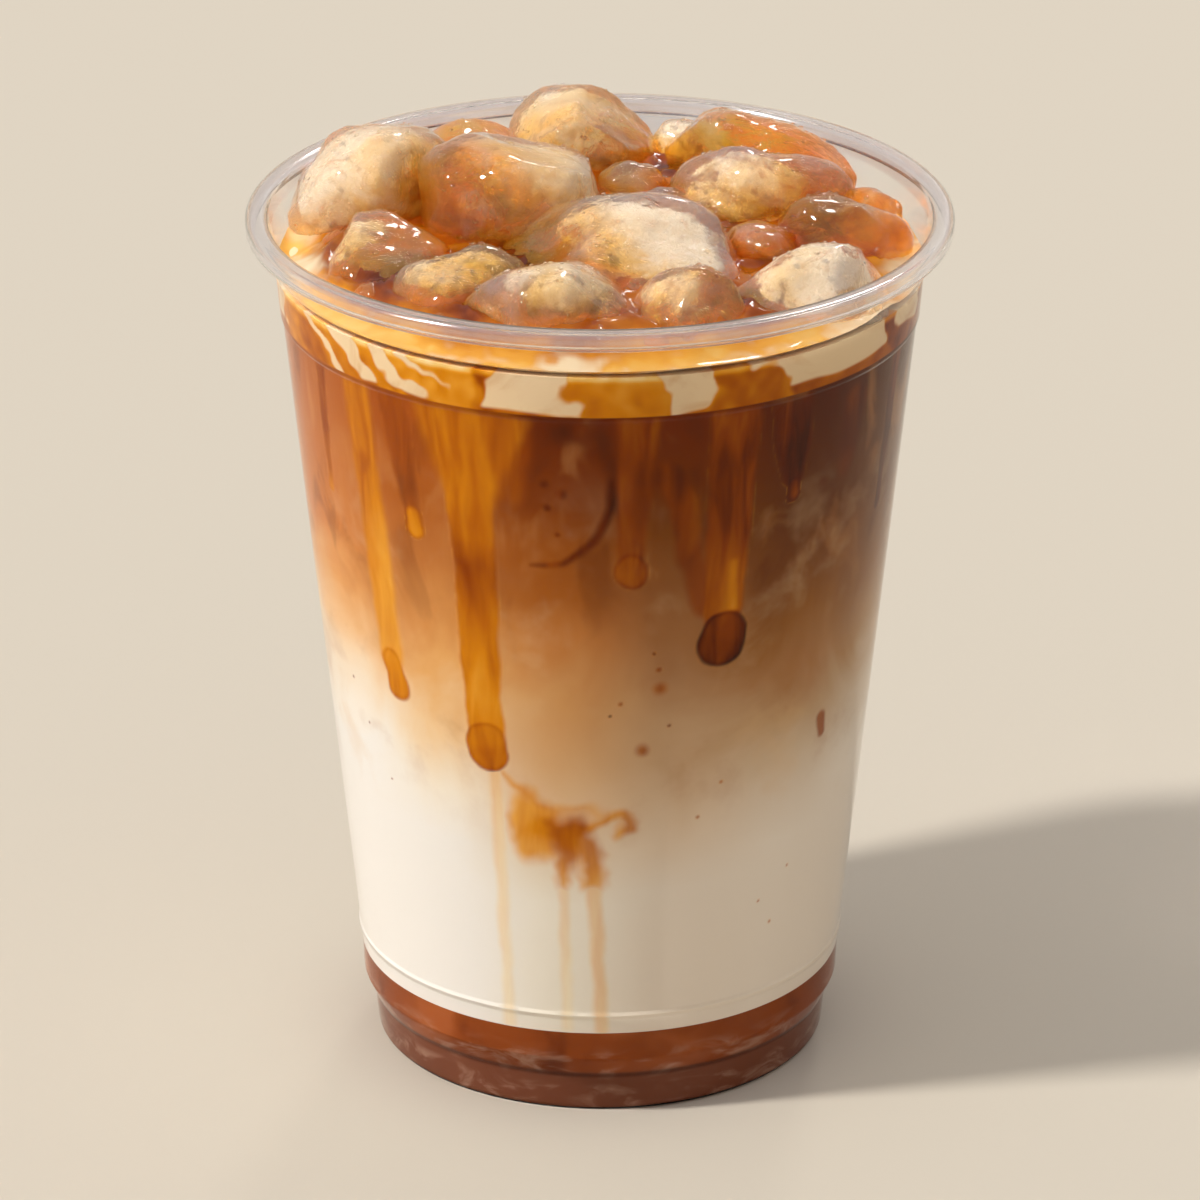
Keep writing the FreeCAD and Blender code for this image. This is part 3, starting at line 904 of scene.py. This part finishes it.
# How each chunk looks: how far the caramel has coloured it, which way the colour
# gathers (right, back, up), how cloudy it is, which way the cloud lies, how many broken
# flats it has, how far it swells past its block and where it has slumped to.
ICE_LOOKS = {
    "ice_left_boulder": (0.2, (1, -0.5, -0.5), 0.5, (-0.5, -0.2, 0.8), 5, 1.14, (0.2, -0.8, -0.4)),
    "ice_back_left": (0.58, (0.2, 0, -0.5), 0.1, (0, 0, 1), 9, 1.2, (0.6, 0, -1.6)),
    "ice_back_peak": (0.4, (0.6, -0.7, -0.6), 0.3, (-0.3, 0, 0.9), 10, 1.1, (0.4, 0, -1.6)),
    "ice_amber_boulder": (0.52, (-1, -0.7, -0.6), 0.55, (0.6, 0.2, 0.6), 5, 1.16, (-0.4, -1.2, -0.6)),
    "ice_back_pale": (0.2, (0, 0, -0.6), 0.4, (0, 0, 1), 8, 1.2, (0.3, 0, -1.8)),
    "ice_amber_ridge": (0.6, (0.3, -0.3, -0.4), 0, (0, 0, 1), 9, 1.14, (0, 0, -0.8)),
    "ice_right_block": (0.42, (0.4, -0.2, -0.7), 0.32, (-0.4, -0.5, 0.5), 10, 1.2, (0.6, -1.6, -0.4)),
    "ice_right_amber": (0.62, (0, 0, -0.3), 0, (0, 0, 1), 6, 1.2, (-0.6, -0.4, 0.2)),
    "ice_right_bead": (0.56, (0, 0, -0.3), 0, (0, 0, 1), 5, 1.2, (-0.4, 0, 0)),
    "ice_small_bead": (0.4, (0, 0, -0.5), 0.1, (0, 0, 1), 5, 1.6, (0, -3, 0.4)),
    "ice_right_pale": (0.08, (-0.8, -0.2, -0.6), 0.6, (0.4, -0.2, 0.7), 9, 1.2, (-0.4, -1.6, -0.8)),
    "ice_centre_dome": (0.38, (-1.1, -0.5, -0.5), 0.55, (0.9, 0.1, 0.7), 6, 1.14, (-0.2, -2.4, -0.4)),
    "ice_front_middle": (0.36, (0, -0.2, -0.7), 0.25, (0.2, 0, 0.9), 10, 1.24, (0.8, -0.8, -0.4)),
    "ice_front_right": (0.5, (0.6, -0.3, -0.6), 0.2, (-0.5, 0, 0.8), 10, 1.26, (-0.6, -1.6, -0.8)),
    "ice_front_left": (0.54, (0.3, -0.4, -0.7), 0.25, (-0.2, 0, 0.9), 10, 1.26, (0.2, -3.4, -0.6)),
    "ice_left_wedge": (0.5, (0.3, -0.4, -0.7), 0.2, (-0.9, 0.3, 0.3), 10, 1.36, (2.4, -2.6, -0.6)),
    "ice_sunk_lump": (0.6, (0, 0, -0.3), 0.1, (0, 0, 1), 6, 1.2, (0, 0, -0.6)),
    "ice_sunk_nub": (0.45, (0, 0, -0.4), 0.3, (0, 0, 1), 6, 1.2, (-0.3, 0, 0)),
}
CORE_SHARE = 0.76  # size of a chunk's cloudy core
CORE_SHIFT = 0.1  # how far it moves to the cloudy side
MELT_ROUNDS = 2
SPREAD = 1.14  # melting chunks settle wider, until they touch
CUT_SHARE = (0.74, 0.95)  # where flats cut a chunk, of its reach
BRIM_REACH = 4  # chunks keep off the wall up to here
BRIM_GAP = 0.3
AMBER_SIDE = 0.42  # how strongly caramel gathers, and cloud
CLOUD_SIDE = 0.6
SEAM_CARAMEL_AND_SHADE = 0.55  # caramel that gathers where chunks touch, with painted shade in the crevices between them
SEAM_WIDTH = 0.9  # how fast it thins out away from there
FOOT_AMBER = 0.4  # caramel drawn up into each chunk's foot
FOOT_HEIGHT = 1.7  # how fast it thins out upwards
POOL_RISE = 3.2  # caramel heaps up in the middle
LUMP_TRIES = 900
LUMP_REACH = 37  # furthest from the axis
LUMP_ROOM = (1.3, 4.5)  # least free space, and the most that is filled


def pool_rise(from_wall):
    """How far the caramel stands above its level, that far from the wall."""
    return POOL_RISE * smooth(0.5, 12, from_wall)


def refined(source, levels):
    """A smoother, finer copy of a mesh, as points and faces."""
    coarse = bpy.data.meshes.new("coarse")
    weld(source, coarse, 0.001)
    coarse.materials.clear()
    holder = placed("holder", coarse)
    finer = holder.modifiers.new("finer", "SUBSURF")
    finer.levels = levels
    finer.render_levels = levels
    bpy.context.view_layer.update()
    shown = holder.evaluated_get(bpy.context.evaluated_depsgraph_get())
    mesh = bpy.data.meshes.new_from_object(shown)
    bpy.data.objects.remove(holder)
    bpy.data.meshes.remove(coarse)
    points = np.array([v.co for v in mesh.vertices]) / MM
    faces = [tuple(face.vertices) for face in mesh.polygons]
    bpy.data.meshes.remove(mesh)
    return points, faces


def eased(points, faces, rounds):
    """The points, drawn towards their neighbours a few times."""
    links = np.array([(a, b) for face in faces for a, b in zip(face, face[1:] + face[:1])])
    links = np.concatenate([links, links[:, ::-1]])
    count = np.bincount(links[:, 0], minlength=len(points))[:, None]
    for _ in range(rounds):
        total = np.zeros(points.shape)
        np.add.at(total, links[:, 0], points[links[:, 1]])
        points = 0.4 * points + 0.6 * total / count
    return points


def broken(points, faces, seed, cuts, swell):
    """Ice with broken flats and a melted skin, in mm."""
    draw = random.Random(seed).uniform
    middle, _ = extent(points)
    points = middle + (points - middle) * np.array([swell * SPREAD, swell * SPREAD, swell])
    for _ in range(cuts):
        way = np.array(Vector((draw(-1, 1), draw(-1, 0.4), draw(-0.2, 1))).normalized())
        reach = (points - middle) @ way
        limit = reach.max() * draw(*CUT_SHARE)
        points = points - np.outer(np.maximum(reach - limit, 0) * 0.93, way)
    points = eased(points, faces, MELT_ROUNDS)
    shift = Vector((seed * 7.3, 0, 0))
    out = points - middle
    size = np.linalg.norm(out, axis=1)
    mean = size.mean()
    lumps = murmur(points, 1.76 / mean, shift) * mean * 0.09
    ripples = murmur(points, 0.55, shift) * 0.25
    return points + out / size[:, None] * (lumps + ripples)[:, None]


def settled(points):
    """Ice that keeps off the cup and below the CAD model's top."""
    points[:, 2] = np.minimum(points[:, 2], CAD_TOP)
    brim = np.interp(np.minimum(points[:, 2], LEVEL + BRIM_REACH), *WALL_LINE) - BRIM_GAP
    radius = np.hypot(points[:, 0], points[:, 1])
    points[:, :2] *= np.minimum(1, brim / radius)[:, None]
    return points


def gathered(points, base, way, strength):
    """A share for each point that grows towards one side of the chunk."""
    middle, half = extent(points)
    return np.clip(base + strength * ((points - middle) / half) @ np.array(way), 0, 1)


def soaked(points):
    """Caramel drawn up from the pool at each point."""
    from_wall = wall_radius(LEVEL) - np.hypot(points[:, 0], points[:, 1])
    above = np.maximum(points[:, 2] - LEVEL - pool_rise(from_wall), 0)
    return FOOT_AMBER * np.exp(-above / FOOT_HEIGHT)


def tree_of(pieces):
    """One search tree over several pieces."""
    points = []
    faces = []
    for piece in pieces:
        mesh = piece.data
        add_part(points, faces, [v.co.copy() for v in mesh.vertices],
                 [face.vertices for face in mesh.polygons])
    return BVHTree.FromPolygons(points, faces)


def make_ice():
    """Every chunk, and the cloudy cores inside the clear ones."""
    made = []
    marks = []
    core_points = []
    core_faces = []
    core_amber = []
    core_cloud = []
    for seed, (name, look) in enumerate(ICE_LOOKS.items(), 40):
        amber, amber_way, cloud, cloud_way, cuts, swell, slump = look
        points, faces = refined(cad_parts[name].data, 2)
        points = settled(broken(points, faces, seed, cuts, swell) + np.array(slump))
        clear = cloud > 0.15 and not name.startswith("ice_sunk")
        piece = mesh_piece(name.replace("ice_", "chunk_"), points * MM, faces,
                           CLEAR_ICE if clear else AMBER_ICE, "ice",
                           cloud=gathered(points, cloud, cloud_way, CLOUD_SIDE))
        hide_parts(name)
        made.append(piece)
        marks.append(gathered(points, amber, amber_way, AMBER_SIDE) + soaked(points))
        if not clear:
            continue
        middle, half = extent(points)
        core = middle + (points - middle) * CORE_SHARE + half * np.array(cloud_way) * CORE_SHIFT
        add_part(core_points, core_faces, core, faces)
        core_amber += list(gathered(core, amber, amber_way, AMBER_SIDE))
        core_cloud += list(gathered(core, cloud + 0.1, cloud_way, CLOUD_SIDE))
    mesh_piece("cloudy_cores", np.array(core_points) * MM, core_faces, CLOUDY_CORE, "ice",
               amber=core_amber, cloud=core_cloud)
    # more caramel where chunks touch: caramel caught between them, and painted shade in the crevices
    for piece, amber in zip(made, marks):
        others = tree_of([other for other in made if other is not piece])
        gap = np.array([others.find_nearest(v.co)[3] for v in piece.data.vertices]) / MM
        put_marks(piece, amber=np.clip(amber + SEAM_CARAMEL_AND_SHADE * np.exp(-gap / SEAM_WIDTH), 0, 1))
    return made


def make_sunk_ice(chunks):
    """Lumps that fill the gaps between the chunks and just break the surface."""
    luck = random.Random(5)
    near = tree_of(chunks)
    lumps = []
    for _ in range(LUMP_TRIES):
        radius = LUMP_REACH * sqrt(luck.random())
        place = around(luck.uniform(0, 360), radius, LEVEL + POOL_RISE - 0.6)
        gap = near.find_nearest(place)[3] / MM
        others = min([(place - spot).length / MM - size for spot, size in lumps] or [99])
        room = min(gap, others, wall_radius(LEVEL) - radius)
        if room > LUMP_ROOM[0]:
            lumps.append((place, min(room, LUMP_ROOM[1]) * luck.uniform(1.15, 1.45)))
    net, net_faces = ball(4)
    points = []
    faces = []
    amber = []
    for seed, (place, size) in enumerate(lumps, 80):
        squash = np.array([luck.uniform(0.9, 1.2), luck.uniform(0.9, 1.2), luck.uniform(0.7, 0.95)])
        shape = broken(net * size * squash, net_faces, seed, 3, 1)
        shape = shape + np.array(place) / MM - np.array([0, 0, 0.35 * size])
        add_part(points, faces, shape, net_faces)
        amber += [luck.uniform(0.25, 0.6)] * len(shape)
    return mesh_piece("sunk_ice", np.array(points) * MM, faces, AMBER_ICE, "ice",
                      amber=amber, cloud=[0.1] * len(points))


# ---------------- surface and water

RINGS = 64
TURNS = 300
CLIMB = (1.1, 0.9)  # of the caramel, on the ice and on the wall
CLIMB_WIDTH = 0.9  # how fast that falls off
CREAM_BELT = (9, 2)  # from the wall, where cream starts and is full


def make_surface(chunks):
    """Caramel pools and cream swirls, which climb the wall and the ice."""
    near = tree_of(chunks)
    rim = wall_radius(LEVEL) + INTO_WALL
    points = [Vector((0, 0, LEVEL * MM))]
    for ring in range(1, RINGS + 1):
        radius = rim * (ring / RINGS) ** 0.8
        for turn in range(TURNS):
            place = around(360 * turn / TURNS, radius, LEVEL)
            gap = near.find_nearest(place)[3] / MM
            climb = CLIMB[0] * exp(-gap / CLIMB_WIDTH)
            climb += CLIMB[1] * exp(-(rim - radius) / CLIMB_WIDTH)
            climb += pool_rise(rim - radius)
            swell = 0.6 * noise.noise(place / MM * 0.12)
            place.z += (climb + swell * smooth(0, 2, rim - radius)) * MM
            points.append(place)
    faces = [(0, 1 + (turn + 1) % TURNS, 1 + turn) for turn in range(TURNS)]
    faces += [tuple(1 + corner for corner in face) for face in lattice(RINGS, TURNS)]
    places = np.array(points) / MM
    angle = angles_of(places)
    swirl = np.array([noise.noise(Vector((x * 0.1, y * 0.1, 3 + 0.05 * x))) for x, y, _ in places])
    fine = murmur(places, 0.45)
    edge = smooth(*CREAM_BELT, rim - np.hypot(places[:, 0], places[:, 1]))
    left = smooth(60, 20, np.abs(angle + 100))
    right = smooth(60, 25, np.abs(angle - 88))
    front = smooth(75, 45, np.abs(angle))
    beside = edge * np.maximum(np.maximum(left, right) * (0.7 + 1.2 * swirl),
                               front * (0.55 + 0.9 * swirl + 0.4 * fine))
    return mesh_piece("drink_surface", points, faces, POOLS, "caramel_cream",
                      cream=np.clip(beside + 0.3 * fine - 0.1, 0, 0.9),
                      depth=np.clip(0.74 + 0.12 * fine - 0.4 * edge + 0.3 * swirl, 0.24, 0.94))


BEADS = 560  # tries; some make no bead
BEAD_SIZE = (0.13, 0.42)  # radii of water beads
BEAD_REACH = 43  # furthest from the axis


def make_beads(pieces):
    """Beads of melt water on the ice and the caramel."""
    luck = random.Random(17)
    near = tree_of(pieces)
    net, net_faces = ball(2)
    points = []
    faces = []
    for _ in range(BEADS):
        above = around(luck.uniform(0, 360), BEAD_REACH * sqrt(luck.random()), CAD_TOP + 20)
        spot, facing, _, _ = near.ray_cast(above, Vector((0, 0, -1)))
        size = luck.uniform(*BEAD_SIZE)
        if spot is None or facing.z < 0.2 or spot.z / MM + size > CAD_TOP:
            continue
        stretch = np.array([luck.uniform(0.8, 1.3), luck.uniform(0.8, 1.3), 0.75])
        add_part(points, faces, net * size * stretch + np.array(spot) / MM, net_faces)
    mesh_piece("water_beads", np.array(points) * MM, faces, WATER, "ice")


# ---------------- stage, light and camera

FLOOR = tone(212, 202, 185)
FLOOR_GRAIN = tone(220, 210, 192)
FLOOR_HALF = 4  # metres
CAMERA_DISTANCE = 1035.7
CAMERA_ELEVATION = 23.15
AIM_HEIGHT = 64.59
LENS = 220.03
SENSOR = 36


def floor_look(tree):
    return {"Base Color": mixed(times(clouds(here(tree), 400), 0.03), FLOOR, FLOOR_GRAIN),
            "Roughness": 0.9, "Specular IOR Level": 0}


def make_stage():
    """A plain pale floor that keeps the drink's shadow."""
    mesh = bpy.data.meshes.new("floor")
    corners = [(x * FLOOR_HALF, y * FLOOR_HALF, 0) for x, y in ((-1, -1), (1, -1), (1, 1), (-1, 1))]
    mesh.from_pydata(corners, [], [(0, 1, 2, 3)])
    mesh.materials.append(new_material("plain floor", floor_look))
    floor = placed("floor", mesh)


def aim(thing, target):
    """Turns a light or camera to look at a place."""
    thing.rotation_euler = (Vector(target) - thing.location).to_track_quat("-Z", "Y").to_euler()


def sun_from(name, turn, lift, energy, spread, colour):
    """A distant light, at an angle round the cup and a lift."""
    sun = bpy.data.lights.new(name, "SUN")
    sun.energy = energy
    sun.angle = radians(spread)
    sun.color = colour
    light = placed(name, sun)
    light.location = around(turn, cos(radians(lift)), sin(radians(lift))) / MM
    aim(light, (0, 0, 0))


def make_lights():
    """A key from the left, a low glow from behind and a soft sky."""
    sun_from("key", -72, 51, 2.05, 5, (1, 0.985, 0.96))
    sun_from("back_glow", 168, 36, 0.32, 9, (1, 0.98, 0.95))
    world = bpy.data.worlds.new("sky")
    bpy.context.scene.world = world
    world.use_nodes = True
    tree = world.node_tree
    tree.nodes.clear()
    up = node(tree, "SeparateXYZ", {0: node(tree, "TexCoord").outputs["Generated"]}).outputs[2]
    colour = ramp(scaled(up, 0.5, 0.5), [
        (0, 0.68, 0.48, 0.31, 1), (0.5, 0.72, 0.5, 0.33, 1), (0.64, 0.58, 0.5, 0.43, 1),
        (0.8, 0.56, 0.58, 0.62, 1)], "LINEAR", lambda *colour: colour)
    background = node(tree, "Background", {"Color": colour, "Strength": 1})
    node(tree, "OutputWorld", {0: background.outputs[0]})


def make_camera():
    """A long lens a little above the cup, straight in front of it."""
    lens = bpy.data.cameras.new("view")
    lens.lens = LENS
    lens.sensor_width = SENSOR
    camera = placed("view", lens)
    lift = radians(CAMERA_ELEVATION)
    target = Vector((0, 0, AIM_HEIGHT * MM))
    camera.location = target + CAMERA_DISTANCE * MM * Vector((0, -cos(lift), sin(lift)))
    aim(camera, target)
    bpy.context.scene.camera = camera


make_cup()
make_layers()
make_float()
make_wall_caramel()
make_sky_reflection()
CHUNKS = make_ice()
SUNK = make_sunk_ice(CHUNKS)
TOP = make_surface(CHUNKS + [SUNK])
make_beads(CHUNKS + [SUNK, TOP])
make_stage()
make_lights()
make_camera()
bpy.context.scene.view_settings.view_transform = "Standard"

bpy.context.view_layer.update()
